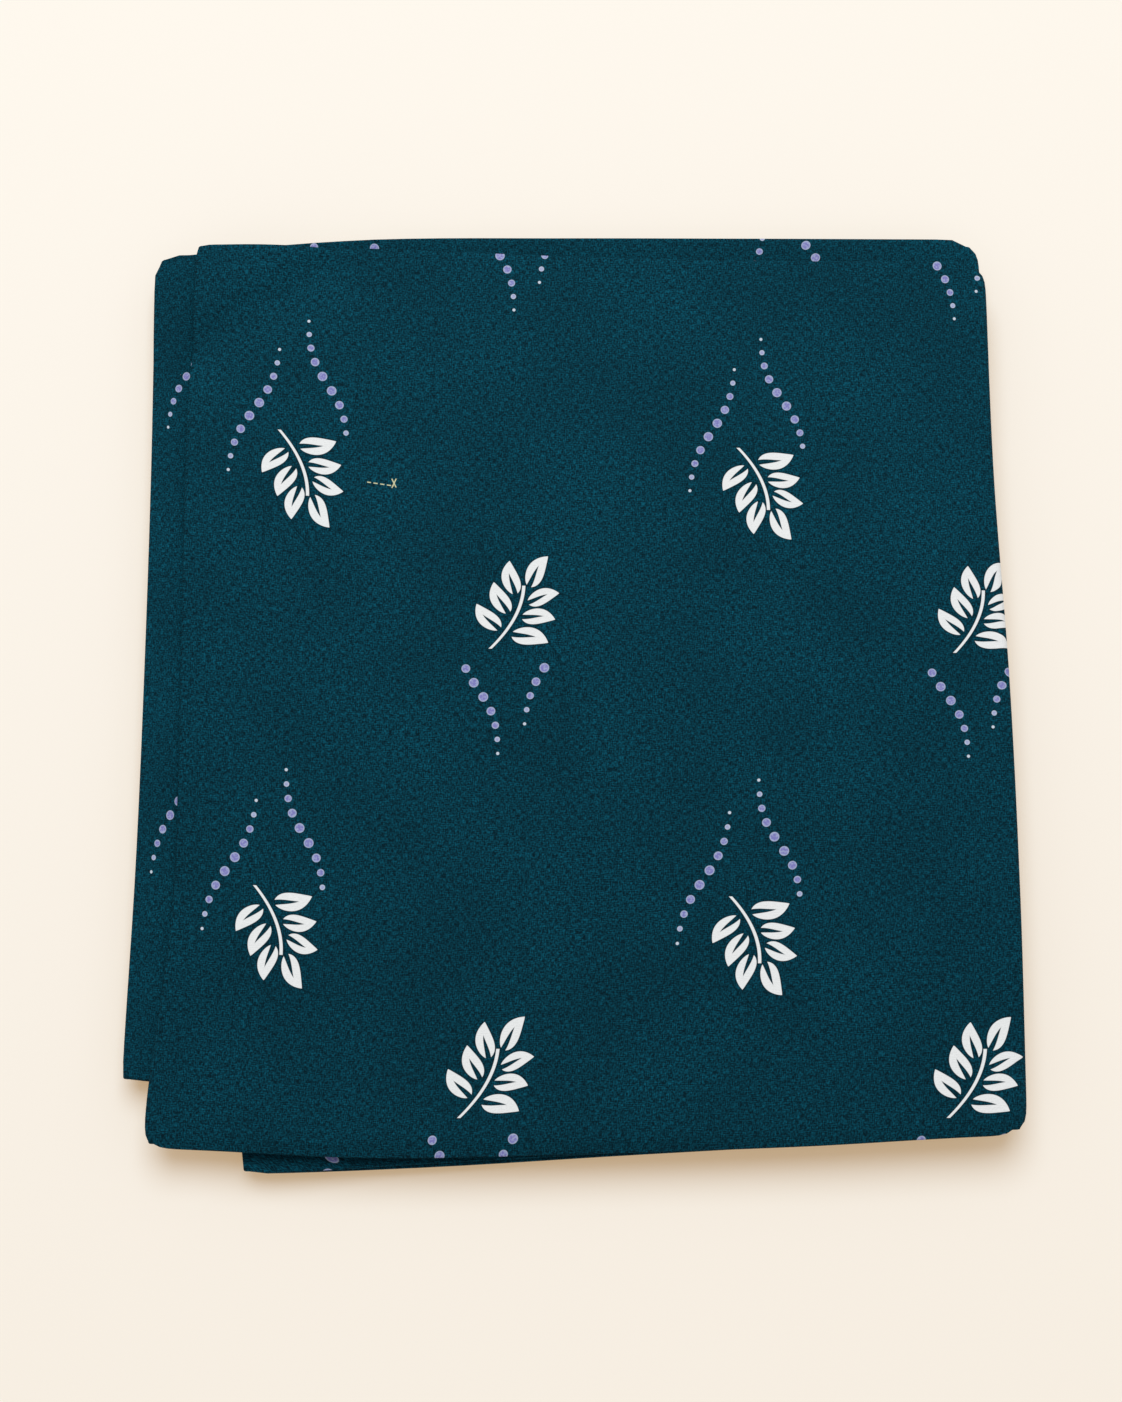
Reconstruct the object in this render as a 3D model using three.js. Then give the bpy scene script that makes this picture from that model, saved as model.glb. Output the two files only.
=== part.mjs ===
// Folded length of printed cotton cloth, lying flat on a surface.
//
// The cloth is first folded lengthwise into a band four plies thick, and the band then goes back and forth
// from side to side. The solid is that band: one closed sheet with nine layers, each a little apart, joined
// by folds at the right and the left. One cut end of the band is tucked in under the top layer. The other is
// the left edge of the bottom layer.
//
// Millimetres. +X is the right side of the pack, +Y its back and +Z up. The bottom layer lies flat on z = 0.

import * as THREE from "three";

// Driving sizes

const PLY = 0.34; // one ply of the cloth
const PLIES = 4; // plies in the band
const PLY_SLACK = 0.04; // air that each ply keeps round itself
const BAND = PLIES * (PLY + PLY_SLACK); // thickness of one layer
const GAP = 0.6; // air between two layers
const PITCH = BAND + GAP; // height from one layer to the next
const NOSE = BAND / 2; // the lengthwise folds stand out this far at the band's long edges

// A table with named columns: each row becomes an object
const named = (columns, row) => Object.fromEntries(columns.map((name, k) => [name, row[k]]));
const table = (columns, rows) => rows.map((row) => named(columns, row));

// Where the band turns, in its own order: the tucked-in end, eight folds, and the end below.
// side: +1 right, -1 left. x1 to x5: the outermost line of the turn, in even steps from front to back.
// front, back: where the band's long edges are at that turn.
// cutFront, cutBack: how far the turn's two corners are rounded off.
const TURNS = table(
  ["side", "x1", "x2", "x3", "x4", "x5", "front", "back", "cutFront", "cutBack"],
  [
    [+1, 124.0, 126.5, 127.0, 126.0, 127.5, -149.0, 148.4, 1.0, 1.0],
    [-1, -138.8, -132.2, -132.0, -131.9, -130.8, -154.8, 157.2, 1.5, 0.8],
    [+1, 146.4, 147.5, 147.2, 144.8, 144.8, -150.8, 150.6, 2.0, 2.6],
    [-1, -147.35, -145.8, -145.6, -146.2, -147.75, -132.6, 156.6, 0.3, 2.0],
    [+1, 142.5, 143.6, 144.3, 144.0, 143.9, -147.0, 161.8, 3.0, 2.8],
    [-1, -107.9, -106.6, -106.0, -104.8, -104.2, -162.6, 145.5, 0.8, 2.0],
    [+1, 141.0, 142.2, 142.9, 142.0, 142.1, -149.4, 152.0, 2.6, 2.4],
    [-1, -138.2, -139.4, -140.9, -141.4, -142.5, -145.6, 149.0, 1.8, 2.2],
    [+1, 142.6, 141.4, 141.7, 142.9, 142.9, -149.0, 151.0, 2.8, 2.6],
    [-1, -137.4, -138.6, -139.2, -138.4, -138.0, -147.8, 147.0, 1.2, 1.0],
  ],
);

// The layers between those turns. level: the layer's place in the pile, from 0 at the bottom.
// The other columns are the layer's long edges, a quarter, a half and three quarters of the way from its left
// turn to its right one.
const RUNS = table(
  ["level", "frontLeft", "frontMiddle", "frontRight", "backLeft", "backMiddle", "backRight"],
  [
    [7, -155.6, -154.4, -152.2, 152.4, 150.4, 149.2],
    [8, -157.8, -156.6, -154.3, 154.6, 152.4, 151.0],
    [6, -137.5, -143.0, -147.0, 153.5, 151.0, 149.6],
    [5, -140.5, -147.5, -149.5, 161.8, 162.5, 162.3],
    [4, -159.4, -155.8, -151.6, 151.0, 154.0, 156.5],
    [3, -160.4, -156.8, -153.4, 149.0, 152.5, 154.5],
    [2, -148.0, -149.5, -150.6, 151.0, 153.0, 153.5],
    [1, -148.6, -150.8, -151.0, 150.6, 152.6, 151.8],
    [0, -150.0, -151.4, -150.6, 149.6, 150.8, 151.6],
  ],
);
const LAYERS = RUNS.length;

// Unevenness of the pile, as shares of a layer's height above the bottom one
const SWELL_AT_FOLDS = 0.045; // the stack is fuller at its folded sides
const HALF_WIDTH = 148;
const WAVE = 0.018; // broad waves over the pile
const WAVE_LENGTH_X = 210;
const WAVE_LENGTH_Y = 260;
const WAVE_SHIFT = 0.9; // radians, so that no crest lies on the middle line

// Soft trough that runs slantwise over the back left corner
const TROUGH = { fromX: -92, fromY: 150, toX: -132, toY: 123, halfWidth: 13, depth: 0.035 };

// The fold between the fifth and the sixth layer stops short, so what lies over it sinks at the left
const SHORT_TURN = TURNS[5];
const SINK_DEPTH = 2.5;
const SINK_WIDTH = 36;
const SINK_LEVEL = 5; // the lowest level that sinks

// The two top layers bend down where they stand out in front of the next one: drop for each square millimetre
const DROOP = 0.0045;
const DROOP_LEVEL = 7; // the lowest level that bends
const HELD = 2; // layer whose front edge holds those two up

// Steps of the surface, closer together near the folds and the corners
const STEPS_ALONG = [0, 0.008, 0.022, 0.06, 0.13, 0.25, 0.41, 0.59, 0.75, 0.87, 0.94, 0.978, 0.992, 1];
const STEPS_ACROSS = [-1, -0.985, -0.95, -0.88, -0.76, -0.5, -0.17, 0.17, 0.5, 0.75, 0.9, 0.975, 1];
const STEPS_ROUND_A_FOLD = 5;
const CORNER_POWER = 70; // how late the rounding of a corner sets in
const SLOPE_STEP = 0.5;

// Edges of the layers seen from above

// A smooth line through evenly spaced values, read at t from 0 to 1
const smoothLine = (values) => {
  const line = new THREE.SplineCurve(values.map((value, k) => new THREE.Vector2(k, value)));
  return (t) => line.getPoint(t).y;
};

const turnLines = TURNS.map(({ x1, x2, x3, x4, x5 }) => smoothLine([x1, x2, x3, x4, x5]));

// The outermost line of a turn, at v from -1 at the front to 1 at the back
function edgeX(index, v) {
  const turn = TURNS[index];
  const cut = v < 0 ? turn.cutFront : turn.cutBack;
  return turnLines[index]((v + 1) / 2) - turn.side * cut * Math.abs(v) ** CORNER_POWER;
}

// Every other layer runs from right to left, starting with the tucked-in one
const runsLeft = (layer) => layer % 2 === 0;
const rightTurnOf = (layer) => (runsLeft(layer) ? TURNS[layer] : TURNS[layer + 1]);
const leftTurnOf = (layer) => (runsLeft(layer) ? TURNS[layer + 1] : TURNS[layer]);

const frontLines = RUNS.map((run, layer) => {
  const { frontLeft, frontMiddle, frontRight } = run;
  return smoothLine([leftTurnOf(layer).front, frontLeft, frontMiddle, frontRight, rightTurnOf(layer).front]);
});
const backLines = RUNS.map((run, layer) => {
  const { backLeft, backMiddle, backRight } = run;
  return smoothLine([leftTurnOf(layer).back, backLeft, backMiddle, backRight, rightTurnOf(layer).back]);
});

// How much a corner of a layer is rounded off, at q from 0 at its left turn to 1 at its right one
function cornerCut(layer, q, column) {
  const turn = q < 0.5 ? leftTurnOf(layer) : rightTurnOf(layer);
  return turn[column] * Math.abs(2 * q - 1) ** CORNER_POWER;
}

const frontY = (layer, q) => frontLines[layer](q) + cornerCut(layer, q, "cutFront");
const backY = (layer, q) => backLines[layer](q) - cornerCut(layer, q, "cutBack");

// Height of the layers

const smoothStep = (t) => {
  const c = Math.min(1, Math.max(0, t));
  return c * c * (3 - 2 * c);
};

// How deep a point lies in the slanting trough, from 0 to 1
function troughAt(x, y) {
  const dx = TROUGH.toX - TROUGH.fromX;
  const dy = TROUGH.toY - TROUGH.fromY;
  const length = Math.hypot(dx, dy);
  const along = ((x - TROUGH.fromX) * dx + (y - TROUGH.fromY) * dy) / length;
  const off = ((x - TROUGH.fromX) * dy - (y - TROUGH.fromY) * dx) / length;
  const beyond = Math.max(0, -along, along - length);
  return Math.exp(-(off * off + beyond * beyond) / TROUGH.halfWidth ** 2);
}

// How much fuller or flatter the pile is at a point, as a share of its height
function swellAt(x, y) {
  const side = SWELL_AT_FOLDS * (x / HALF_WIDTH) ** 4;
  const waveX = Math.sin((2 * Math.PI * x) / WAVE_LENGTH_X + WAVE_SHIFT);
  const waveY = Math.cos((2 * Math.PI * y) / WAVE_LENGTH_Y);
  return side + WAVE * waveX * waveY - TROUGH.depth * troughAt(x, y);
}

// The drop of the two top layers in front of the edge that holds them up
function droopAt(x, y) {
  const left = leftTurnOf(HELD).x1;
  const right = rightTurnOf(HELD).x1;
  const q = Math.min(1, Math.max(0, (x - left) / (right - left)));
  const overhang = Math.max(0, frontLines[HELD](q) - y);
  return DROOP * overhang * overhang;
}

// Height of a layer's middle surface
function heightOf(layer, x, y) {
  const { level } = RUNS[layer];
  const sink = level >= SINK_LEVEL ? SINK_DEPTH * smoothStep((SHORT_TURN.x3 + 1 - x) / SINK_WIDTH) : 0;
  const droop = level >= DROOP_LEVEL ? droopAt(x, y) : 0;
  return BAND / 2 + level * PITCH * (1 + swellAt(x, y)) - sink - droop;
}

// The band as a list of stations. Each one gives, for a place v across the band from -1 at the front to 1 at
// the back, the point of the middle surface and the direction in which the band's outer face looks there.

// How far a layer's flat run ends inside the outermost line of a turn: nothing at a cut end
function foldReach(index) {
  if (index === 0 || index === LAYERS) {
    return 0;
  }
  const levels = Math.abs(RUNS[index].level - RUNS[index - 1].level);
  return (levels * PITCH + BAND) / 2;
}

const endOfRun = (index, v) => edgeX(index, v) - TURNS[index].side * foldReach(index);

// p goes from 0 at the layer's first turn to 1 at its second one
function placeInRun(layer, p, v) {
  const q = runsLeft(layer) ? 1 - p : p;
  const x = THREE.MathUtils.lerp(endOfRun(layer, v), endOfRun(layer + 1, v), p);
  const y = THREE.MathUtils.lerp(frontY(layer, q) + NOSE, backY(layer, q) - NOSE, (v + 1) / 2);
  return { x, y };
}

// The band's outer face looks up where the band runs right and down where it runs left
const facing = (layer) => (runsLeft(layer) ? -1 : 1);

function stationInRun(layer, p) {
  return (v) => {
    const { x, y } = placeInRun(layer, p, v);
    const rise = heightOf(layer, x + SLOPE_STEP, y) - heightOf(layer, x - SLOPE_STEP, y);
    const slope = rise / (2 * SLOPE_STEP);
    const normal = new THREE.Vector3(-slope, 0, 1).normalize().multiplyScalar(facing(layer));
    return { point: new THREE.Vector3(x, y, heightOf(layer, x, y)), normal };
  };
}

// In the half turn of the band from one layer to the next, at a share of that half turn
function stationInFold(layer, share) {
  const outward = TURNS[layer + 1].side * Math.sin(share * Math.PI);
  const back = Math.cos(share * Math.PI);
  return (v) => {
    const { x, y } = placeInRun(layer, 1, v);
    const from = heightOf(layer, x, y);
    const to = heightOf(layer + 1, x, y);
    const radius = Math.abs(from - to) / 2;
    const point = new THREE.Vector3(x + radius * outward, y, (from + to) / 2 + ((from - to) / 2) * back);
    const normal = new THREE.Vector3(Math.sign(from - to) * outward, 0, back).multiplyScalar(facing(layer));
    return { point, normal };
  };
}

function bandStations() {
  const stations = [];
  for (let layer = 0; layer < LAYERS; layer += 1) {
    stations.push(...STEPS_ALONG.map((p) => stationInRun(layer, p)));
    for (let k = 1; k < STEPS_ROUND_A_FOLD && layer < LAYERS - 1; k += 1) {
      stations.push(stationInFold(layer, k / STEPS_ROUND_A_FOLD));
    }
  }
  return stations;
}

// One ring of points round the band at a station: outer face, back nose, inner face, front nose
function ringAt(station) {
  const across = STEPS_ACROSS.map((v) => station(v));
  const face = (offset) => across.map(({ point, normal }) => point.clone().addScaledVector(normal, offset));
  const nose = ({ point }, reach) => new THREE.Vector3(point.x, point.y + reach, point.z);
  return [...face(BAND / 2), nose(across.at(-1), NOSE), ...face(-BAND / 2).reverse(), nose(across[0], -NOSE)];
}

// The cut end of the band: strips between its outer and inner points, and one triangle at each nose
function endCap(first, around, flipped) {
  const count = STEPS_ACROSS.length;
  const outer = (k) => first + k;
  const inner = (k) => first + 2 * count - k;
  const faces = [
    [outer(count - 1), first + count, inner(count - 1)],
    [outer(0), inner(0), first + around - 1],
  ];
  for (let k = 0; k + 1 < count; k += 1) {
    faces.push([outer(k), outer(k + 1), inner(k + 1)], [outer(k), inner(k + 1), inner(k)]);
  }
  return faces.flatMap(([a, b, c]) => (flipped ? [a, c, b] : [a, b, c]));
}

// Closed mesh of the whole band
function foldedBand() {
  const rings = bandStations().map(ringAt);
  const around = rings[0].length;
  const triangles = [];
  for (let i = 0; i + 1 < rings.length; i += 1) {
    for (let j = 0; j < around; j += 1) {
      const next = (j + 1) % around;
      const [a, b, c, d] = [i * around + j, (i + 1) * around + j, (i + 1) * around + next, i * around + next];
      triangles.push(a, b, c, a, c, d);
    }
  }
  triangles.push(...endCap(0, around, false), ...endCap((rings.length - 1) * around, around, true));
  const geometry = new THREE.BufferGeometry();
  const positions = rings.flat().flatMap((point) => point.toArray());
  geometry.setAttribute("position", new THREE.Float32BufferAttribute(positions, 3));
  geometry.setIndex(triangles);
  geometry.computeVertexNormals();
  return geometry;
}

// Plain-weave cotton, printed: dull, and dark teal all over
const printedCotton = new THREE.MeshStandardMaterial({ color: "#0c3e4d", roughness: 0.92, metalness: 0 });

const cloth = new THREE.Mesh(foldedBand(), printedCotton);
cloth.name = "folded_cloth";

const pack = new THREE.Group();
pack.add(cloth);

export default pack;
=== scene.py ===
# %% [markdown]
# # A folded length of printed cotton
#
# A cut length of dark teal cotton, printed with white leaf sprigs and rows of lavender dots, lies folded on a
# pale surface. We see it almost from above. This lesson makes the cloth as one thin sheet that really goes
# through all its folds, so it has layers, folded edges and cut edges from every side. What the photo hides, such
# as how many layers there are, is a guess.
#
# First we load the CAD model. It gives the frame that everything has to stay in. It gives the frame that the
# cloth is built in, and its box is kept.

import math

import bpy
import numpy as np
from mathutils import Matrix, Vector


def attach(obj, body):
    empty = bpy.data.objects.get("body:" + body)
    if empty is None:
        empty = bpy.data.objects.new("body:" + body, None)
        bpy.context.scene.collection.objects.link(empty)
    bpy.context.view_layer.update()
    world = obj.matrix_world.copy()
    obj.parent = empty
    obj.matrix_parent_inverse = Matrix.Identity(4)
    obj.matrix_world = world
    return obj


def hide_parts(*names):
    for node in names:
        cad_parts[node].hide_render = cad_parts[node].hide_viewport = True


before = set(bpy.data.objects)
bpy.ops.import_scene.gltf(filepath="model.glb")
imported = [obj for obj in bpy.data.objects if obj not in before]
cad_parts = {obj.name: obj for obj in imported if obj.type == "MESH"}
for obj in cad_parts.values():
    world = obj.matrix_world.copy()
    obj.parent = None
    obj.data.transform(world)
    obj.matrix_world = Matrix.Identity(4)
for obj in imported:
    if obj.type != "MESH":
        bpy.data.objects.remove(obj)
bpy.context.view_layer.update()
MM = 0.001

# %% [markdown]
# ## The camera
#
# A photo taken from almost straight above still shows a little of the front edge of the pack. The camera
# stands in front, looks down at 77 degrees, and is about 0.8 m away: the print's even repeat gets smaller
# towards the back of the pack at just that rate. A 60 mm lens on a full-size frame gives the photo's width.

# %% Camera
ELEVATION = math.radians(77)
DISTANCE = 0.79
TARGET = Vector((-0.0040, -0.0059, 0.012))

camera = bpy.data.objects.new("camera", bpy.data.cameras.new("camera"))
camera.data.lens = 60
camera.data.sensor_width = 36
camera.location = TARGET + DISTANCE * Vector((0, -math.cos(ELEVATION), math.sin(ELEVATION)))
camera.rotation_euler = (math.pi / 2 - ELEVATION, 0, 0)
bpy.context.scene.collection.objects.link(camera)
bpy.context.scene.camera = camera
print("camera at", [round(c, 3) for c in camera.location])

# %% [markdown]
# ## How the cloth is folded
#
# Cotton of this width is first folded in four lengthwise, which makes a long band four plies thick. The band
# is then laid back and forth. Its free end lies hidden under the top layer, and then it turns at the left, at
# the right, at the left again, and so on down to the surface.
#
# We could fold a flat sheet with the cloth simulation, but with 36 plies it would be slow, and hard to steer to
# the photo's places. Here the folded shape is written down instead: two short tables give the places of the turns
# and of the layers' edges, in millimetres, and the surface is worked out from them.

# %% The sizes of the cloth and of the band
PLY = 0.30          # thickness of the cloth
PLY_PITCH = 0.38    # from one ply to the next in the band
BAND = 4 * PLY_PITCH
LAYER_PITCH = BAND + 0.6
NOSE = BAND / 2     # the big front fold stands out this far
BACK_NOSE = (PLY_PITCH + PLY) / 2

print(f"band {BAND:.2f} mm thick, a layer every {LAYER_PITCH:.2f} mm")

# %% The turns of the band
# side: +1 right, -1 left. x1 to x5: the outermost line of the turn, in even steps from front to back.
# front, back: where the band's long edges are there. cut_front, cut_back: how far its corners are rounded.
TURN_COLUMNS = "side   x1      x2      x3      x4      x5      front   back  cut_front cut_back".split()
TURNS = [dict(zip(TURN_COLUMNS, row)) for row in [
    (+1, 124.0, 126.5, 127.0, 126.0, 127.5, -149.0, 148.4, 1.0, 1.0),
    (-1, -138.8, -132.2, -132.4, -133.4, -132.4, -154.8, 157.8, 1.5, 0.8),
    (+1, 146.4, 147.5, 147.2, 144.8, 144.8, -150.8, 150.6, 2.0, 2.6),
    (-1, -147.35, -145.8, -145.6, -146.2, -147.75, -132.6, 156.6, 0.3, 2.0),
    (+1, 142.5, 143.6, 144.3, 144.0, 143.9, -147.0, 161.8, 3.0, 2.8),
    (-1, -107.9, -106.6, -106.0, -104.8, -104.2, -162.6, 145.5, 0.8, 2.0),
    (+1, 141.0, 142.2, 142.9, 142.0, 142.1, -149.4, 152.0, 2.6, 2.4),
    (-1, -138.2, -139.4, -140.9, -141.4, -142.5, -145.6, 149.0, 1.8, 2.2),
    (+1, 142.6, 141.4, 141.7, 142.9, 142.9, -149.0, 151.0, 2.8, 2.6),
    (-1, -137.4, -138.6, -139.2, -138.4, -138.0, -147.8, 147.0, 1.2, 1.0),
]]
print(len(TURNS), "turns and ends")

# %% The layers between those turns
# level: the layer's place in the pile, from 0 at the bottom. The other columns are its long edges, a quarter,
# a half and three quarters of the way from its left turn to its right one. steps: how finely it is made.
RUN_COLUMNS = "level front1 front2 front3 back1 back2 back3 steps".split()
RUNS = [dict(zip(RUN_COLUMNS, row)) for row in [
    (7, -155.6, -154.4, -152.2, 152.4, 150.4, 149.2, 30),
    (8, -157.8, -156.6, -154.3, 155.3, 152.6, 151.0, 64),
    (6, -137.5, -143.0, -147.0, 153.5, 151.0, 149.6, 30),
    (5, -140.5, -147.5, -149.5, 161.8, 162.5, 162.3, 30),
    (4, -159.4, -155.8, -151.6, 151.0, 154.0, 156.5, 22),
    (3, -160.4, -156.8, -153.4, 149.0, 152.5, 154.5, 22),
    (2, -148.0, -149.5, -150.6, 151.0, 153.0, 153.5, 14),
    (1, -148.6, -150.8, -151.0, 150.6, 152.6, 151.8, 14),
    (0, -150.0, -151.4, -150.6, 149.6, 150.8, 151.6, 14),
]]
LAYERS = len(RUNS)
TOP, STRIP = 1, 2    # the rows of the top layer and of the one whose strip shows at the left
print(LAYERS, "layers")

# %% [markdown]
# ### Smooth lines through a few values
#
# The tables give a handful of values for each edge, and cloth has no corners between them. A smooth line goes
# through evenly spaced values with a cubic piece from each to the next, as a modeller's spline does. The
# formula works on whole arrays of places at once, so there is no loop over points.

# %% Smooth lines
def smooth_line(values, t):
    """A line through evenly spaced values, read at t from 0 to 1. Between two values it is a cubic whose
    slope at each of them is half the step from the value before to the value after."""
    padded = np.pad(np.asarray(values, float), (1, 2), mode="edge")
    at = np.clip(t, 0, 1) * (len(values) - 1)
    i = np.minimum(at.astype(int), len(values) - 1)
    f = at - i
    before, here, there, after = (padded[i + k] for k in range(4))
    a, b = (there - before) / 2, (after - here) / 2
    return (2 * (here - there) + a + b) * f**3 + (3 * (there - here) - 2 * a - b) * f**2 + a * f + here


def smooth_step(t):
    """0 below 0, 1 above 1, and in between three squares less two cubes."""
    c = np.clip(t, 0, 1)
    return c * c * (3 - 2 * c)


CORNER_POWER = 70    # how late the rounding of a corner sets in


def runs_left(layer):
    """The band runs to the left in the first layer and in every second one after it."""
    return layer % 2 == 0


def left_and_right(layer):
    """The rows of TURNS at the left and the right of a layer."""
    pair = TURNS[layer], TURNS[layer + 1]
    return pair[::-1] if runs_left(layer) else pair


def edge_x(index, v):
    """Outermost line of a turn, at v from -1 at the front to 1 at the back."""
    turn = TURNS[index]
    cut = np.where(v < 0, turn["cut_front"], turn["cut_back"])
    line = smooth_line([turn[f"x{k}"] for k in (1, 2, 3, 4, 5)], (v + 1) / 2)
    return line - turn["side"] * cut * np.abs(v) ** CORNER_POWER


def long_edge(layer, q, which, inward):
    """Long edge of a layer (front or back), at q from 0 at its left turn to 1 at its right one."""
    left, right = left_and_right(layer)
    run = RUNS[layer]
    line = smooth_line([left[which], run[which + "1"], run[which + "2"], run[which + "3"], right[which]], q)
    cut = np.where(q < 0.5, left["cut_" + which], right["cut_" + which])
    return line + inward * cut * np.abs(2 * q - 1) ** CORNER_POWER


print("middle of the top layer's front edge:", long_edge(TOP, np.array(0.5), "front", 1).round(1), "mm")

# %% [markdown]
# ### How high each layer lies
#
# Cloth in a pile isn't flat. The pile is fuller at its folded sides, and broad waves run over it. At the back
# left a soft trough crosses the corner. One fold in the middle of the pile stops short on the left, so what
# lies over it sinks there, and in front the two top layers stand out over the next one and bend down.

# %% Height of the layers
HALF_WIDTH = 148
SIDES_FULLER, WAVE_HEIGHT, TROUGH_DEPTH = 0.045, 0.018, 0.20    # as shares of the height
WAVE_X, WAVE_Y = 210, 260           # lengths of the broad waves, in mm
TROUGH_WALL, TROUGH_SIDE = 6, 12    # how far the trough reaches behind its line, and in front of it, in mm
TROUGH_FROM, TROUGH_TO = np.array([-90.6, 147.9]), np.array([-130.6, 120.9])


def trough_at(x, y):
    """1 along the line of the trough, falling off as a bell curve: within 6 mm behind the line, where its wall
    is steeper, within 12 mm in front of it, and within 12 mm beyond its ends."""
    along = TROUGH_TO - TROUGH_FROM
    length = np.hypot(*along)
    dx, dy = x - TROUGH_FROM[0], y - TROUGH_FROM[1]
    on = (dx * along[0] + dy * along[1]) / length
    off = (dx * along[1] - dy * along[0]) / length
    beyond = np.maximum(0, np.maximum(-on, on - length))
    reach = np.where(off > 0, TROUGH_WALL, TROUGH_SIDE)
    return np.exp(-((off / reach) ** 2) - (beyond / TROUGH_SIDE) ** 2)


def swell_at(x, y):
    """How much fuller the pile is at a point, as a share of its height: the fourth power of the distance from
    the middle, plus one long wave in x times one in y, less the trough."""
    wave = np.sin(2 * np.pi * x / WAVE_X + 0.9) * np.cos(2 * np.pi * y / WAVE_Y)
    return SIDES_FULLER * (x / HALF_WIDTH) ** 4 + WAVE_HEIGHT * wave - TROUGH_DEPTH * trough_at(x, y)


HANG, ROUNDING, ROUNDED = 0.0045, 0.08, 5    # two rates in 1/mm, and how much of the edge is rounded, in mm


def droop_at(x, y):
    """The drop of the two top layers at the front: the square of how far they stand out over the layer that
    holds them, and the square of the last 5 mm before the fold, where the pile is rounded."""
    left, right = left_and_right(STRIP)
    q = (x - left["x1"]) / (right["x1"] - left["x1"])
    run = RUNS[STRIP]
    held = smooth_line([left["front"], run["front1"], run["front2"], run["front3"], right["front"]], q)
    last = np.maximum(0, long_edge(TOP, q, "front", 1) + ROUNDED - y)
    return HANG * np.maximum(0, held - y) ** 2 + ROUNDING * last**2


# How deep and how gently the pile sinks over its short fold, and from which level up
SINK, SINK_WIDTH, SINK_LEVEL = 2.5, 36, 5
# How high the top two layers stand off at their left fold, where that starts and how gently
LIFT, LIFT_X, LIFT_WIDTH, LIFT_LEVEL = 2.0, -122, 16, 7


def height_of(layer, x, y):
    """Middle surface of a layer: its level times the pitch and the swell, less the sink and the droop. The two
    top layers stand off the strip below by 2 mm at their left fold."""
    level = RUNS[layer]["level"]
    z = BAND / 2 + level * LAYER_PITCH * (1 + swell_at(x, y))
    if level >= SINK_LEVEL:
        z = z - SINK * smooth_step((TURNS[5]["x3"] + 1 - x) / SINK_WIDTH)
    if level >= LIFT_LEVEL:
        z = z - droop_at(x, y) + LIFT * smooth_step((LIFT_X - x) / LIFT_WIDTH)
    return z


print("top layer's middle:", round(float(height_of(TOP, 0.0, 0.0)), 1), "mm high")

# %% [markdown]
# ### The band's middle surface
#
# The surface is a grid. One of its two parameters runs along the band, in stations, and the other, v, goes
# across it from -1 at the front to 1 at the back. In a layer the stations lie on straight lines between its
# two turns. At a turn they go round a half circle from the height of one layer to the height of the next.
# Each station also gives the direction that the band's outer face looks in, so the plies can be set off.

# %% Stations along the band
FOLD_STEPS = 8


def fold_reach(index):
    """How far a layer's flat part ends inside a turn: the half circle's radius and half a band."""
    if index in (0, LAYERS):
        return 0
    levels = abs(RUNS[index]["level"] - RUNS[index - 1]["level"])
    return (levels * LAYER_PITCH + BAND) / 2


def place_in_run(layer, p, v):
    """Seen from above: x goes evenly from turn to turn with p, y evenly from edge to edge with v."""
    q = 1 - p if runs_left(layer) else p
    ends = [edge_x(k, v) - TURNS[k]["side"] * fold_reach(k) for k in (layer, layer + 1)]
    front = long_edge(layer, q, "front", 1) + NOSE
    back = long_edge(layer, q, "back", -1) - BACK_NOSE
    x = ends[0] + (ends[1] - ends[0]) * p
    return x, front + (back - front) * (v + 1) / 2


def facing(layer):
    """The band's outer face looks up where the band runs right, and down where it runs left."""
    return -1 if runs_left(layer) else 1


def stations_in_run(layer, v):
    """Points and outward directions of one layer. Steps are closer together near the turns, as the sine of
    the even share."""
    even = np.linspace(-1, 1, RUNS[layer]["steps"])[:, None]
    p = (1 + 0.55 * np.sin(even * np.pi / 2) + 0.45 * even) / 2
    x, y = place_in_run(layer, p, v[None, :])
    slope = height_of(layer, x + 0.5, y) - height_of(layer, x - 0.5, y)
    points = np.stack([x, y, height_of(layer, x, y)], axis=-1)
    normals = np.stack([-slope, np.zeros_like(slope), np.ones_like(slope)], axis=-1)
    normals *= facing(layer) / np.linalg.norm(normals, axis=-1, keepdims=True)
    return points, normals


def stations_in_fold(layer, v):
    """Points and outward directions of the half turn from one layer to the next: a half circle whose
    diameter is the step between their heights."""
    angle = np.pi * (np.arange(1, FOLD_STEPS) / FOLD_STEPS)[:, None]
    x, y = place_in_run(layer, 1.0, v[None, :])
    z0, z1 = height_of(layer, x, y), height_of(layer + 1, x, y)
    side = TURNS[layer + 1]["side"] * np.sin(angle)
    points = np.stack(np.broadcast_arrays(x + abs(z0 - z1) / 2 * side, y,
                                          (z0 + z1) / 2 + (z0 - z1) / 2 * np.cos(angle)), axis=-1)
    normals = np.stack(np.broadcast_arrays(np.sign(z0 - z1) * side, 0 * y, np.cos(angle)), axis=-1)
    return points, normals * facing(layer)


def band_surface(v):
    """Points and outward directions of all stations, for the places v across the band, and how far along
    each one is: the layer's row, plus 0 to 0.9 in the layer and 0.9 to 1 in the turn after it."""
    parts = []
    for layer in range(LAYERS):
        progress = layer + 0.9 * np.linspace(0, 1, RUNS[layer]["steps"])
        parts.append((*stations_in_run(layer, v), progress))
        if layer + 1 < LAYERS:
            progress = layer + 0.9 + 0.1 * np.arange(1, FOLD_STEPS) / FOLD_STEPS
            parts.append((*stations_in_fold(layer, v), progress))
    return [np.concatenate(arrays) for arrays in zip(*parts)]


print("the band's stations:", sum(run["steps"] for run in RUNS) + (LAYERS - 1) * (FOLD_STEPS - 1))


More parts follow.
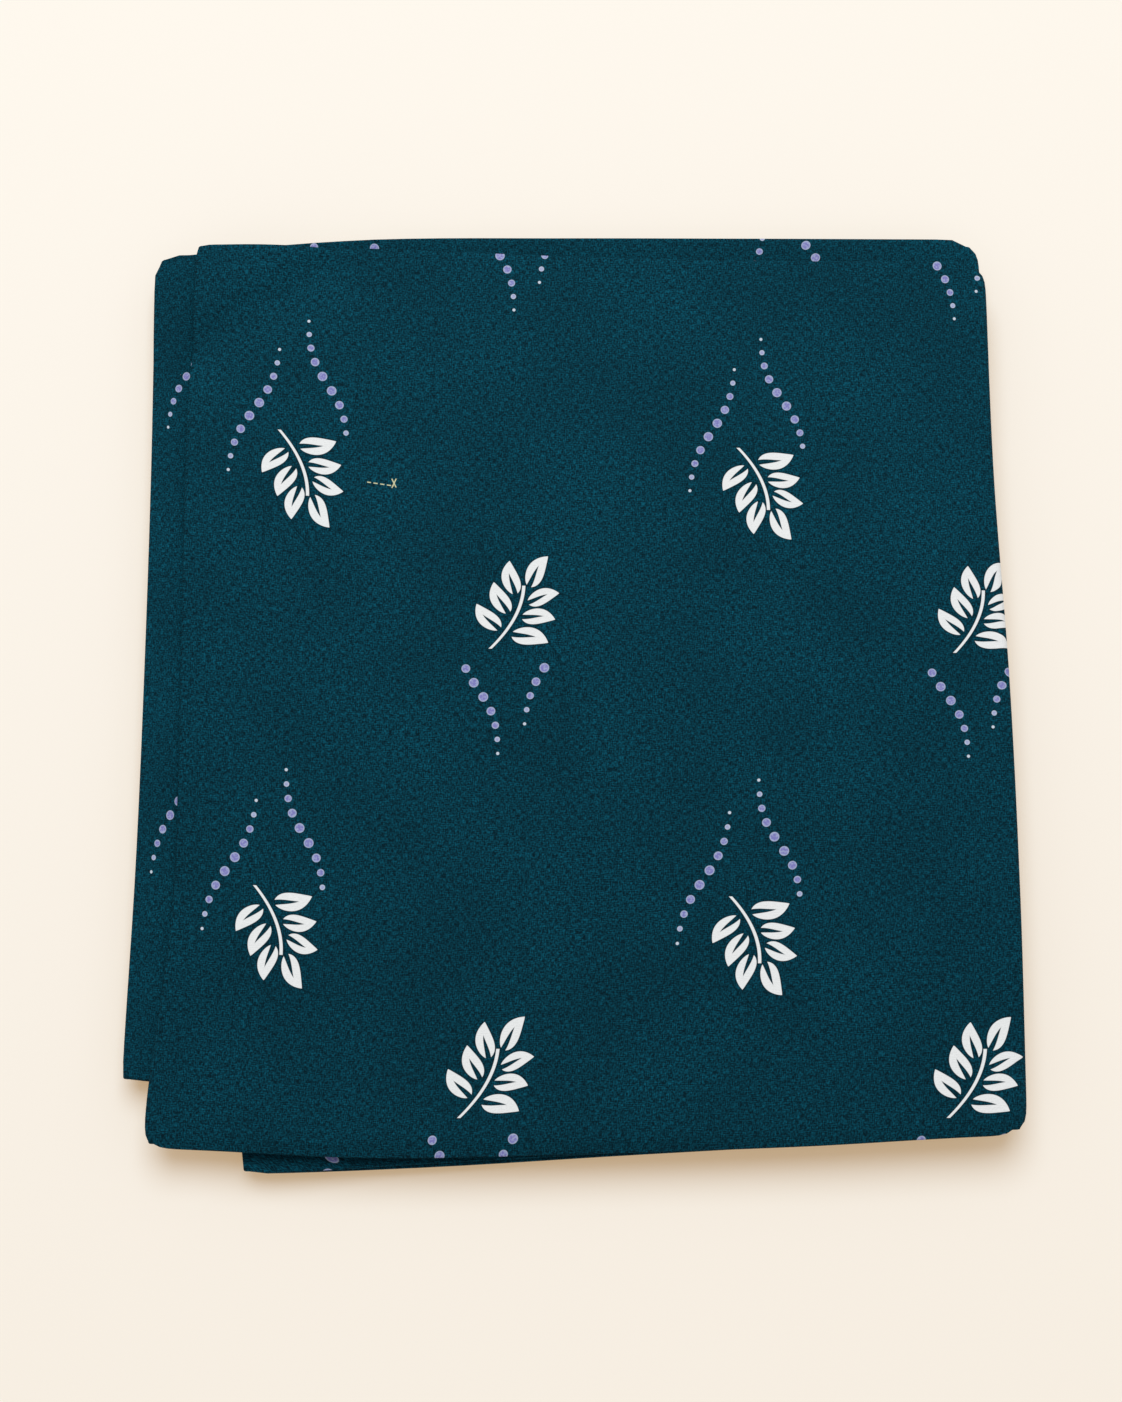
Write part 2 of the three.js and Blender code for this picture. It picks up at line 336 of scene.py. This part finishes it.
# %% [markdown]
# ### Four plies across the band
#
# Now the cloth itself. Its width goes back and forth inside the band: from the first selvedge at the back
# forward to the big front fold, back over the outer side, round the back fold, forward again, round a small
# fold inside the front one, and back to the second selvedge. The path is written as columns: v, how far the
# ply lies off the band's middle, how far it reaches past the band's edge, and the distance along the cloth.

# %% The path of one cross-section
def closer_at_the_edges(count):
    """Places from -1 to 1, closer together towards both ends: even places mixed with their sines."""
    even = np.linspace(-1, 1, count)
    return 0.62 * np.sin(even * np.pi / 2) + 0.38 * even


def stretch(*columns):
    """Columns of one stretch of the path, each a number or an array."""
    return np.stack(np.broadcast_arrays(*map(np.float64, columns)), axis=-1)


fine, coarse = closer_at_the_edges(60), closer_at_the_edges(26)
big, small = np.pi * np.arange(1, 8) / 8, np.pi * np.arange(1, 4) / 4
FRONT = 1.5 * np.pi / 2    # half of the big front fold, in ply pitches
BACK = 0.5 * np.pi         # a small fold

# v, offset, reach (in ply pitches), and the cloth's width there: bands * (the band's width) +
# forward * (distance from the front) + pitches * (the ply pitch)
path = np.concatenate([
    stretch(coarse[::-1], -1.5, 0, 0, -1, -FRONT),
    stretch(-1, -1.5 * np.cos(big), -1.5 * np.sin(big), 0, 0, 1.5 * (big - np.pi / 2)),
    stretch(fine, 1.5, 0, 0, 1, FRONT),
    stretch(1, 1 + 0.5 * np.cos(small), 0.5 * np.sin(small), 1, 0, FRONT + 0.5 * small),
    stretch(coarse[::-1], 0.5, 0, 2, -1, FRONT + BACK),
    stretch(-1, 0.5 * np.cos(small), -0.5 * np.sin(small), 2, 0, FRONT + BACK + 0.5 * small),
    stretch(coarse, -0.5, 0, 2, 1, FRONT + 2 * BACK),
])
v, offset, reach, bands, forward, pitches = path.T
print(len(path), "points across the cloth")

# %% [markdown]
# The selvedges don't lie exactly on the back fold. Each one is a little short of it, by an amount that
# wanders along the cloth.

# %% The points of the sheet
points, normals, progress = band_surface(v)

# The length is measured a little inside of the edges, because the rounded corners would shorten it there.
INSIDE = 0.93
inner = band_surface(np.clip(v, -INSIDE, INSIDE))[0]
steps = np.linalg.norm(np.diff(inner, axis=0), axis=-1)
length = np.concatenate([np.zeros((1, v.size)), np.cumsum(steps, axis=0)])
length += normals[..., 2] * (points[..., 0] - inner[..., 0])
front_line = points[:, [np.argmin(v)], 1]
band_width = points[:, [np.argmax(v)], 1] - front_line
width = bands * band_width + forward * band_width * (v + 1) / 2 + pitches * PLY_PITCH

# How short each selvedge is, in mm: a mean plus a swing times the sine of a slow wave along the cloth.
short = np.where(offset == -1.5, 0.9 + 0.7 * np.sin(length / 61), 0.5 + 0.5 * np.sin(length / 83 + 2))
selvedge_ply = (reach == 0) & (offset < 0)
short = np.where(selvedge_ply, short * np.maximum(0, (v - 0.9) / 0.1) ** 2, 0)

sheet = points + normals * (offset * PLY_PITCH)[None, :, None]
sheet[..., 1] += reach * PLY_PITCH - short
cloth_width, cloth_length = float(np.ptp(width)) * MM, float(length.max()) * MM
print(sheet.shape[:2], "points; the cloth is", round(cloth_length, 2), "m long and", round(cloth_width, 2),
      "m wide")

# %% [markdown]
# ## Where the print lies
#
# The print repeats every 156 mm both ways. The cloth has been pulled about a little, so on the top layer the
# repeat isn't quite square: a cubic in x and y says how far the print is off. On each lower layer that shows,
# the print has its own place, because nobody sees how much cloth lies in the folds between. Those places are
# a table too, and the print slides from one to the next where the cloth is hidden.

# %% Print coordinates
REPEAT = 156.0
# Sums of 1, x, y, xx, xy, yy, xxx, xxy, xyy and yyy, with x and y in hundreds of millimetres
PULL_ALONG = [96.9, -1.16, -3.33, 0.35, -0.04, 1.20, 0.28, 1.03, 0.34, -0.58]
PULL_ACROSS = [84.3, 1.25, 0.14, -1.84, 1.09, -0.58, 1.06, -0.18, 0.20, -0.36]
# How the print lies at a place along the band (a row of the layers' table, plus 0 to 0.9 in the layer). turn is
# -1 where it stands on its head against the fold's own way. Then how far it has slid, near the front fold and on
# the inner side: along, across, and lean, the slide along for each mm of y. On the back part of the outer side:
# back_along, back_across and back_lean (the slide across for each mm of x).
SLIDE_COLUMNS = "progress turn along across lean back_along back_across back_lean".split()
# The strip's rows come first, then the sliver's, then the dark front fold's, where the print leans most.
SLIDES = [dict(zip(SLIDE_COLUMNS, row)) for row in [
    (2.48, 1, 0.0, 0.0, 0.0, 0.0, 0.0, 0.0),
    (2.50, -1, 53.3, 17.9, -0.034, 53.3, -17.5, 0.0),
    (2.80, -1, 53.3, 17.9, -0.034, 53.3, -17.5, 0.0),
    (2.90, -1, 48.8, 17.9, -0.034, 48.8, -17.5, 0.0),
    (3.065, -1, 48.8, 17.9, -0.034, 48.8, -17.5, 0.0),
    (3.09, 1, -105.3, -72.9, 0.0, 22.1, -56.4, -0.03),
    (4.30, 1, -110.8, -72.5, 0.00, 22.1, -56.4, -0.03),
    (4.60, 1, -233.0, -72.5, -0.65, 22.1, -56.4, -0.03),
    (5.00, 1, -254.3, -72.5, -0.65, 22.1, -56.4, -0.03),
    (5.04, 1, -151.6, -36.5, 0.00, 22.1, -56.4, -0.03),
]]


def pull(terms, x, y):
    """Sum of the ten terms of a cubic in x and y."""
    a, b = x / 100, y / 100
    powers = [np.ones_like(a), a, b, a * a, a * b, b * b, a**3, a * a * b, a * b * b, b**3]
    return sum(k * power for k, power in zip(terms, powers))


def slide(column):
    """The print's slide at each station: level before the first and after the last row, even between."""
    return np.interp(progress, [row["progress"] for row in SLIDES], [row[column] for row in SLIDES])[:, None]


first_top, last_top = np.searchsorted(progress, [TOP, TOP + 0.9])
in_top = np.clip(np.arange(progress.size), first_top, last_top)
top_x, top_front, top_width = points[in_top, :, 0], front_line[in_top] - NOSE, band_width[in_top]
top_y = np.clip(top_front + width, top_front, top_front + top_width)
# What the cloth gains by dipping into the trough is taken off again, so the print above stays in its places.
gained = length[in_top] - points[in_top, :, 0]
print_along = slide("turn") * (length - gained + pull(PULL_ALONG, top_x, top_y))
print_across = slide("turn") * (top_front + width + pull(PULL_ACROSS, top_x, top_y))

far_back = smooth_step(width / 120)
print_along += (1 - far_back) * (slide("along") + slide("lean") * points[..., 1]) + far_back * slide("back_along")
print_across += (1 - far_back) * slide("across")
print_across += far_back * (slide("back_across") + slide("back_lean") * points[..., 0])
print("the print runs from", print_along.min().round(), "to", print_along.max().round(), "mm along the cloth")

# %% [markdown]
# ## From arrays to a mesh
#
# A grid of points gives one face for each cell. The numbers of its four corners are worked out for the whole
# grid at once. The sheet gets its thickness from a Solidify modifier, half to each side.

# %% Build the mesh
def grid_mesh(name, grid, uv):
    """A mesh from a grid of points: the face at row i and column j joins (i, j), (i, j+1), (i+1, j+1) and
    (i+1, j). uv holds two numbers for each point."""
    count_i, count_j = grid.shape[:2]
    first = (np.arange(count_i - 1)[:, None] * count_j + np.arange(count_j - 1)).ravel()
    faces = np.stack([first, first + count_j, first + count_j + 1, first + 1], axis=-1)
    mesh = bpy.data.meshes.new(name)
    mesh.vertices.add(count_i * count_j)
    mesh.vertices.foreach_set("co", (grid.reshape(-1, 3) * MM).ravel())
    mesh.loops.add(faces.size)
    mesh.loops.foreach_set("vertex_index", faces.ravel())
    mesh.polygons.add(len(faces))
    mesh.polygons.foreach_set("loop_start", np.arange(0, faces.size, 4))
    mesh.polygons.foreach_set("use_smooth", np.ones(len(faces), bool))
    mesh.update(calc_edges=True)
    layer = mesh.uv_layers.new(name="cloth")
    layer.data.foreach_set("uv", (uv.reshape(-1, 2)[faces.ravel()] * MM).ravel())
    return mesh


cloth = bpy.data.objects.new("cloth", grid_mesh("cloth", sheet, np.stack([print_along, print_across], axis=-1)))
bpy.context.scene.collection.objects.link(cloth)
thickness = cloth.modifiers.new("thickness", "SOLIDIFY")
thickness.thickness = PLY * MM
thickness.offset = 0
print(len(cloth.data.polygons), "faces")

# %% [markdown]
# ## Nodes
#
# A material is a small network. One function adds a node, sets its settings and fills its inputs, and the
# rest of the lesson only says which nodes there are.

# %% Colours and nodes
def colour(hex_code):
    """Linear RGBA of an sRGB hex code: each channel to the power 2.4, as the sRGB curve says."""
    channels = np.array([int(hex_code[k:k + 2], 16) for k in (1, 3, 5)]) / 255
    linear = np.where(channels <= 0.04045, channels / 12.92, ((channels + 0.055) / 1.055) ** 2.4)
    return (*linear.tolist(), 1.0)


def add(tree, kind, inputs=(), **settings):
    """One node with its settings. inputs is a list for its sockets in order, or a dict by name or number.
    A value is a number, a colour, another node (its first output) or a socket; None leaves the input."""
    node = tree.nodes.new("ShaderNode" + kind)
    for name, value in settings.items():
        setattr(node, name, value)
    shown = [socket for socket in node.inputs if socket.enabled]
    pairs = inputs.items() if isinstance(inputs, dict) else enumerate(inputs)
    for key, value in pairs:
        socket = shown[key] if isinstance(key, int) else next(s for s in shown if s.name == key)
        if isinstance(value, bpy.types.Node):
            value = next(s for s in value.outputs if s.enabled)
        if isinstance(value, bpy.types.NodeSocket):
            tree.links.new(value, socket)
        elif value is not None:
            socket.default_value = value
    return node


def new_material(name):
    """An empty material of that name, and its network."""
    material = bpy.data.materials.new(name)
    material.use_nodes = True
    material.node_tree.nodes.clear()
    return material, material.node_tree


print("dark teal, linear:", [round(c, 4) for c in colour("#0C3E4D")])

# %% [markdown]
# ## Printed cotton, plain weave
#
# Plain-weave cotton is dull and slightly rough. Its threads are about 0.4 mm apart, and spun thread is never
# even: thicker and thinner lengths show as short streaks along and across the cloth. The white sprigs and the
# lavender dots are printed on it.
#
# We could paint the print as an image, but it would blur when seen closely. Instead the print is a formula: it
# is worked out from the UV map, which holds the place on the flat cloth in metres. It goes through every fold.

# %% The cell of the repeat
cotton, tree = new_material("plain-weave cotton, printed")
ORIGIN_U = (73.6, -50.6)    # the second motif's place from the first one, in mm

place = add(tree, "UVMap", uv_map="cloth")
in_mm = add(tree, "VectorMath", {0: place, "Scale": 1000.0}, operation="SCALE")
flat_xy = add(tree, "SeparateXYZ", [in_mm])
along_mm, across_mm = flat_xy.outputs[0], flat_xy.outputs[1]

# Columns of hanging sprigs and of standing ones take turns. Where the wrapped place is beyond the hanging one's
# column it is the standing one's, and its motif is turned over.
CELL_X, CELL_Y, STANDING_FROM = -58.0, -64.0, 40.0    # where a cell starts, and where its second column does
column_x = add(tree, "Math", [along_mm, CELL_X + REPEAT, CELL_X], operation="WRAP")
standing = add(tree, "Math", [column_x, STANDING_FROM], operation="GREATER_THAN")
flip = add(tree, "Math", [standing, -2.0, 1.0], operation="MULTIPLY_ADD")
motif_x = add(tree, "Math", [standing, -ORIGIN_U[0], column_x], operation="MULTIPLY_ADD")
shifted_y = add(tree, "Math", [standing, -ORIGIN_U[1], across_mm], operation="MULTIPLY_ADD")
flipped_y = add(tree, "Math", [shifted_y, flip], operation="MULTIPLY")
motif_y = add(tree, "Math", [flipped_y, CELL_Y + REPEAT, CELL_Y], operation="WRAP")
sprig_xy = add(tree, "CombineXYZ", [motif_x, motif_y])
print("one repeat is", REPEAT, "mm")

# %% [markdown]
# ### The ground
#
# The dark teal ground isn't one flat colour: we see thread, weave and dye in it. Layers of noise could paint it,
# but noise alone looks like sand. So two noises are stretched into streaks, along the cloth and across it, and
# the weave's over and under is added as two sines.

# %% The ground
# Uneven thread shows as streaks both ways. Slow clouds, some 40 mm across, are where the dye took a little more.
# A slow sine across the width is painted light: it makes the cloth paler towards the back of the top layer and
# darker towards its front, standing in for the window light falling off over the pile.
streak_along = add(tree, "Mapping", {"Vector": in_mm, "Scale": (0.55, 3.0, 1)})
streak_across = add(tree, "Mapping", {"Vector": in_mm, "Scale": (3.0, 0.55, 1)})
along_noise = add(tree, "TexNoise", {"Vector": streak_along, "Scale": 1.0, "Detail": 2.0, "Roughness": 0.6})
across_noise = add(tree, "TexNoise", {"Vector": streak_across, "Scale": 1.0, "Detail": 2.0, "Roughness": 0.6})
slubs = add(tree, "Math", [along_noise, across_noise], operation="ADD")

# One thread over and one under: a sine along times a sine across. Real threads are finer than the picture can
# show, so the weave is drawn at a wider step, in mm, where it still reads as a weave.
THREAD_STEP, THREAD_SHARE = 1.35, 0.05
over = add(tree, "Math", [along_mm, 2 * math.pi / THREAD_STEP], operation="MULTIPLY")
over = add(tree, "Math", [over], operation="SINE")
under = add(tree, "Math", [across_mm, 2 * math.pi / THREAD_STEP], operation="MULTIPLY")
under = add(tree, "Math", [under], operation="SINE")
weave = add(tree, "Math", [over, under], operation="MULTIPLY")
threads = add(tree, "Math", [weave, THREAD_SHARE, slubs], operation="MULTIPLY_ADD")
threads = add(tree, "MapRange", {"Value": threads, "From Min": 0.84, "From Max": 1.28})
threads = add(tree, "Math", [threads, 1.25], operation="POWER")
clouds = add(tree, "TexNoise", {"Vector": in_mm, "Scale": 0.025, "Detail": 2.0})
clouds = add(tree, "MapRange", {"Value": clouds, "From Min": 0.35, "From Max": 0.65, "To Max": 0.25})

ground = add(tree, "Mix", {"Factor": threads, "A": colour("#071F28"), "B": colour("#0E5C72")}, data_type="RGBA")
ground = add(tree, "Mix", {"Factor": clouds, "A": ground, "B": colour("#06222C")}, data_type="RGBA")
# Painted light: the ground's colour is scaled from 0.98 to 1.14 by a sine across the width, palest at the back of
# the top layer.
painted_light_falloff = add(tree, "Math", [across_mm, 0.010, -0.8], operation="MULTIPLY_ADD")
painted_light_falloff = add(tree, "Math", [painted_light_falloff], operation="SINE")
painted_light_falloff = add(tree, "MapRange", {"Value": painted_light_falloff, "From Min": -1.0, "To Min": 0.98, "To Max": 1.14})
ground = add(tree, "VectorMath", {0: ground, "Scale": painted_light_falloff}, operation="SCALE")
print("threads and clouds")

# %% [markdown]
# ### Leaves and stem
#
# A sprig is a bowed stem with seven leaves, printed in white. Each leaf could be an outline of many points, but
# one formula needs only its foot, its length and its angle. In the leaf's own frame, a runs from 0 at the foot to
# 1 at the tip, and b lies across. Its half width is a power of a times a power of 1 - a, its middle line bends to
# one side by a squared times 1 - a, and a slit along that line is widest at the foot and narrows with a squared.

# %% Leaves and stem
LEAF_BEND, LEAF_WIDTH, FOOT_POWER, TIP_POWER = 0.51, 0.668, 0.6, 0.85
SLIT_NARROWS, SLIT_AT_FOOT = 0.167, 0.06    # how fast the slit narrows, and its half width at the foot
STEM_HALF, STEM_REACH, STEM_MIDDLE = 0.66, 11.2, -0.3    # in mm: half its width, half its length, its middle
# x, y: the leaf's foot. length in mm. angle in degrees.
LEAVES = [dict(zip("x y length angle".split(), row)) for row in [
    (2.24, 5.56, 12.8, 12.8),
    (5.43, -0.50, 11.4, 3.8),
    (7.29, -5.43, 11.2, -18.6),
    (7.43, -11.04, 12.6, -59.7),
    (-1.57, 4.12, 12.0, -132.5),
    (1.09, -1.56, 12.1, -115.7),
    (3.17, -8.19, 12.1, -100.9),
]]
inside = None
for leaf in LEAVES:
    local = add(tree, "Mapping", {"Vector": sprig_xy, "Location": (leaf["x"], leaf["y"], 0),
                                  "Rotation": (0, 0, math.radians(leaf["angle"])),
                                  "Scale": (leaf["length"], leaf["length"], 1)}, vector_type="TEXTURE")
    ab = add(tree, "SeparateXYZ", [local])
    a, b = ab.outputs[0], ab.outputs[1]
    rest = add(tree, "Math", [1.0, a], operation="SUBTRACT")
    squared = add(tree, "Math", [a, a], operation="MULTIPLY")
    bend = add(tree, "Math", [squared, rest], operation="MULTIPLY")
    off = add(tree, "Math", [bend, LEAF_BEND, b], operation="MULTIPLY_ADD")
    off = add(tree, "Math", [off], operation="ABSOLUTE")
    rise = add(tree, "Math", [a, FOOT_POWER], operation="POWER")
    fall = add(tree, "Math", [rest, TIP_POWER], operation="POWER")
    half = add(tree, "Math", [rise, fall], operation="MULTIPLY")
    body = add(tree, "Math", [half, LEAF_WIDTH], operation="MULTIPLY")
    body = add(tree, "Math", [body, off], operation="SUBTRACT")
    slit = add(tree, "Math", [squared, SLIT_NARROWS, -SLIT_AT_FOOT], operation="MULTIPLY_ADD")
    slit = add(tree, "Math", [off, slit], operation="ADD")
    shape = add(tree, "Math", [body, slit], operation="MINIMUM")
    shape = add(tree, "Math", [shape, leaf["length"]], operation="MULTIPLY")
    inside = shape if inside is None else add(tree, "Math", [inside, shape], operation="MAXIMUM")

# The stem's place in x is a parabola in y.
bow = add(tree, "Math", [motif_y, -0.0211, -0.4856], operation="MULTIPLY_ADD")
bow = add(tree, "Math", [bow, motif_y, 3.11], operation="MULTIPLY_ADD")
stem = add(tree, "Math", [motif_x, bow], operation="SUBTRACT")
stem = add(tree, "Math", [stem], operation="ABSOLUTE")
stem = add(tree, "Math", [STEM_HALF, stem], operation="SUBTRACT")
reach_of_stem = add(tree, "Math", [motif_y, STEM_MIDDLE], operation="SUBTRACT")
reach_of_stem = add(tree, "Math", [reach_of_stem], operation="ABSOLUTE")
reach_of_stem = add(tree, "Math", [STEM_REACH, reach_of_stem], operation="SUBTRACT")
stem = add(tree, "Math", [stem, reach_of_stem], operation="MINIMUM")
sprig = add(tree, "Math", [inside, stem], operation="MAXIMUM")

# A thin darker line of dye runs round each shape, and the white lies inside it.
rim = add(tree, "MapRange", {"Value": sprig, "From Min": -0.55, "From Max": -0.05, "To Max": 0.7})
white = add(tree, "MapRange", {"Value": sprig, "From Min": 0.02, "From Max": 0.22},
            interpolation_type="SMOOTHSTEP")
printed = add(tree, "Mix", {"Factor": rim, "A": ground, "B": colour("#05222B")}, data_type="RGBA")
printed = add(tree, "Mix", {"Factor": white, "A": printed, "B": colour("#F2F4F4")}, data_type="RGBA")
print(len(LEAVES), "leaves and a stem")

# %% [markdown]
# ### Rows of dots
#
# Two rows of round dots open above each sprig like a bell. Placing every dot by hand would take a long table. A
# curve and a step are enough: each row lies on a soft S, x = middle + swing * tanh((y - height) / spread), and the
# dots follow each other from the top at even steps. The nearest dot's number is the rounded count of steps.

# %% Rows of dots
# last: the number of the row's last dot on a hanging sprig. On a standing one the row ends at last_standing, and
# it is shifted by shift_x and shift_y.
ARC_COLUMNS = "middle swing height spread top step last last_standing shift_x shift_y".split()
ARCS = [dict(zip(ARC_COLUMNS, row)) for row in [
    (-13.52, 8.04, 16.79, 12.60, 38.98, 4.857, 9, 4, 1.9, 2.5),
    (10.84, -7.73, 28.16, 10.96, 50.06, 4.812, 8, 6, 2.8, 3.3),
]]
MIDDLE_DOT, BIGGEST = 4.5, 1.67    # which number is biggest, and its radius in mm
# A dot is lavender with a paler rim, and the small ones are pale all over. Small specks show the ground in them.
specks = add(tree, "TexNoise", {"Vector": in_mm, "Scale": 1.3, "Detail": 1.0})
specks = add(tree, "MapRange", {"Value": specks, "From Min": 0.35, "From Max": 0.55, "To Min": 0.35})
for arc in ARCS:
    arc_x = add(tree, "Math", [motif_x, flip], operation="MULTIPLY")
    arc_x = add(tree, "Math", [standing, arc["shift_x"], arc_x], operation="MULTIPLY_ADD")
    arc_y = add(tree, "Math", [standing, arc["shift_y"], motif_y], operation="MULTIPLY_ADD")
    number = add(tree, "Math", [arc["top"], arc_y], operation="SUBTRACT")
    number = add(tree, "Math", [number, arc["step"]], operation="DIVIDE")
    number = add(tree, "Math", [number], operation="ROUND")
    last = add(tree, "Math", [standing, arc["last_standing"] - arc["last"], arc["last"]], operation="MULTIPLY_ADD")
    number = add(tree, "Math", [number, 0.0], operation="MAXIMUM")
    number = add(tree, "Math", [number, last], operation="MINIMUM")
    dot_y = add(tree, "Math", [number, -arc["step"], arc["top"]], operation="MULTIPLY_ADD")
    curve = add(tree, "Math", [dot_y, arc["height"]], operation="SUBTRACT")
    curve = add(tree, "Math", [curve, arc["spread"]], operation="DIVIDE")
    curve = add(tree, "Math", [curve], operation="TANH")
    dot_x = add(tree, "Math", [curve, arc["swing"], arc["middle"]], operation="MULTIPLY_ADD")
    here = add(tree, "CombineXYZ", [arc_x, arc_y])
    centre = add(tree, "CombineXYZ", [dot_x, dot_y])
    far = add(tree, "VectorMath", [here, centre], operation="DISTANCE")
    from_middle = add(tree, "Math", [number, MIDDLE_DOT], operation="SUBTRACT")
    from_middle = add(tree, "Math", [from_middle], operation="ABSOLUTE")
    # The dots get smaller towards both ends, by a parabola of how far they are from the middle one.
    radius = add(tree, "Math", [from_middle, -0.034, -0.10], operation="MULTIPLY_ADD")
    radius = add(tree, "Math", [radius, from_middle, BIGGEST], operation="MULTIPLY_ADD")
    dot = add(tree, "Math", [radius, far.outputs["Value"]], operation="SUBTRACT")
    size = add(tree, "MapRange", {"Value": radius, "From Min": 0.5, "From Max": 1.2})
    heart = add(tree, "MapRange", {"Value": dot, "From Min": 0.05, "From Max": 0.50})
    heart = add(tree, "Math", [heart, size], operation="MULTIPLY")
    heart = add(tree, "Math", [heart, specks], operation="MULTIPLY")
    pale = add(tree, "Mix", {"Factor": size, "A": colour("#D2DCE8"), "B": colour("#B2BEDA")}, data_type="RGBA")
    lavender = add(tree, "Mix", {"Factor": heart, "A": pale, "B": colour("#8482C2")}, data_type="RGBA")
    mask = add(tree, "MapRange", {"Value": dot, "From Min": -0.10, "From Max": 0.12},
               interpolation_type="SMOOTHSTEP")
    printed = add(tree, "Mix", {"Factor": mask, "A": printed, "B": lavender}, data_type="RGBA")
print("dots on", len(ARCS), "curves")

# %% [markdown]
# ### A caught thread
#
# A pale thread end has caught on the cloth: a row of dashes where it dips in and out of the weave, and two fibres
# that cross at its end. It could be a tiny tube, but it lies flat in the weave, so the material draws it. It lies
# in one place only, so it reads the flat cloth and not the wrapped repeat.

# %% A caught thread
FIBRE_HALF = 0.20    # half its thickness, in mm
# x, y, angle in degrees, length in mm, and how many dashes it breaks into
FIBRES = [dict(zip("x y angle length dashes".split(), row)) for row in [
    (25.7, 150.9, -5.1, 9.1, 4),
    (33.9, 152.6, -62.0, 3.4, 0),
    (35.4, 152.7, -112.0, 3.6, 0),
]]
for fibre in FIBRES:
    local = add(tree, "Mapping", {"Vector": in_mm, "Location": (fibre["x"], fibre["y"], 0),
                                  "Rotation": (0, 0, math.radians(fibre["angle"]))}, vector_type="TEXTURE")
    ab = add(tree, "SeparateXYZ", [local])
    a, b = ab.outputs[0], ab.outputs[1]
    ends = add(tree, "Math", [a, fibre["length"] / 2], operation="SUBTRACT")
    ends = add(tree, "Math", [ends], operation="ABSOLUTE")
    ends = add(tree, "Math", [fibre["length"] / 2, ends], operation="SUBTRACT")
    thin = add(tree, "Math", [b], operation="ABSOLUTE")
    thin = add(tree, "Math", [FIBRE_HALF, thin], operation="SUBTRACT")
    dips = add(tree, "Math", [a, 2 * math.pi * fibre["dashes"] / fibre["length"]], operation="MULTIPLY")
    dips = add(tree, "Math", [dips], operation="SINE")
    dips = add(tree, "Math", [dips, 0.25, 0.10], operation="MULTIPLY_ADD")
    shape = add(tree, "Math", [ends, thin], operation="MINIMUM")
    shape = add(tree, "Math", [shape, dips], operation="MINIMUM")
    mask = add(tree, "MapRange", {"Value": shape, "From Min": -0.05, "From Max": 0.10})
    printed = add(tree, "Mix", {"Factor": mask, "A": printed, "B": colour("#DAD9AE")}, data_type="RGBA")
print(len(FIBRES), "fibres")

# %% [markdown]
# ### The finish
#
# The threads stand up a very little, which a bump gives. Cotton has no shine, so it is rough and hardly mirrors.

# %% The finish
bump = add(tree, "Bump", {"Height": threads, "Strength": 0.5, "Distance": 0.0002})
skin = add(tree, "BsdfPrincipled", {"Base Color": printed, "Roughness": 0.9, "Specular IOR Level": 0.03,
                                    "Normal": bump})
add(tree, "OutputMaterial", {"Surface": skin})
cloth.data.materials.append(cotton)
print(len(tree.nodes), "nodes")

# %% [markdown]
# ## The stage
#
# A plain cream surface, and soft light from the back of the pack, as from a window above the photo's top
# edge. It makes the soft shadow in front of the pack. The card also gives off a little warm light of its own,
# which keeps its cream colour in the shadow too, and the room adds an even light from all sides.

# %% Floor, lights and colour
floor = bpy.data.objects.new("floor", bpy.data.meshes.new("floor"))
floor.data.from_pydata([(-3, -3, 0), (3, -3, 0), (3, 3, 0), (-3, 3, 0)], [], [(0, 1, 2, 3)])
bpy.context.scene.collection.objects.link(floor)
card, tree = new_material("cream card")
paper = add(tree, "BsdfPrincipled", {
    "Base Color": (0.585, 0.699, 0.772, 1), "Roughness": 1.0, "Specular IOR Level": 0.0,
    "Emission Color": (0.416, 0.245, 0.084, 1), "Emission Strength": 1.0})
add(tree, "OutputMaterial", {"Surface": paper})
floor.data.materials.append(card)


def area_light(name, size, power, at, towards):
    """A round lamp that many metres wide, in watts, turned so that it shines from one point to the other."""
    light = bpy.data.lights.new(name, "AREA")
    light.shape = "DISK"
    light.size = size
    light.energy = power
    light_object = bpy.data.objects.new(name, light)
    light_object.location = at
    light_object.rotation_euler = (Vector(towards) - Vector(at)).to_track_quat("-Z", "Y").to_euler()
    bpy.context.scene.collection.objects.link(light_object)


area_light("window", 2.1, 49.0, (-0.12, 1.12, 2.34), (0, 0, 0))
world = bpy.data.worlds.new("room")
world.use_nodes = True
world.node_tree.nodes["Background"].inputs["Color"].default_value = colour("#FFFFFF")
world.node_tree.nodes["Background"].inputs["Strength"].default_value = 0.37
bpy.context.scene.world = world
bpy.context.scene.view_settings.view_transform = "Standard"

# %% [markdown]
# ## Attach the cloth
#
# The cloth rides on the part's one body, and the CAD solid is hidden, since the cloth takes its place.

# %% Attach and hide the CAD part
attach(cloth, "root")
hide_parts("folded_cloth")
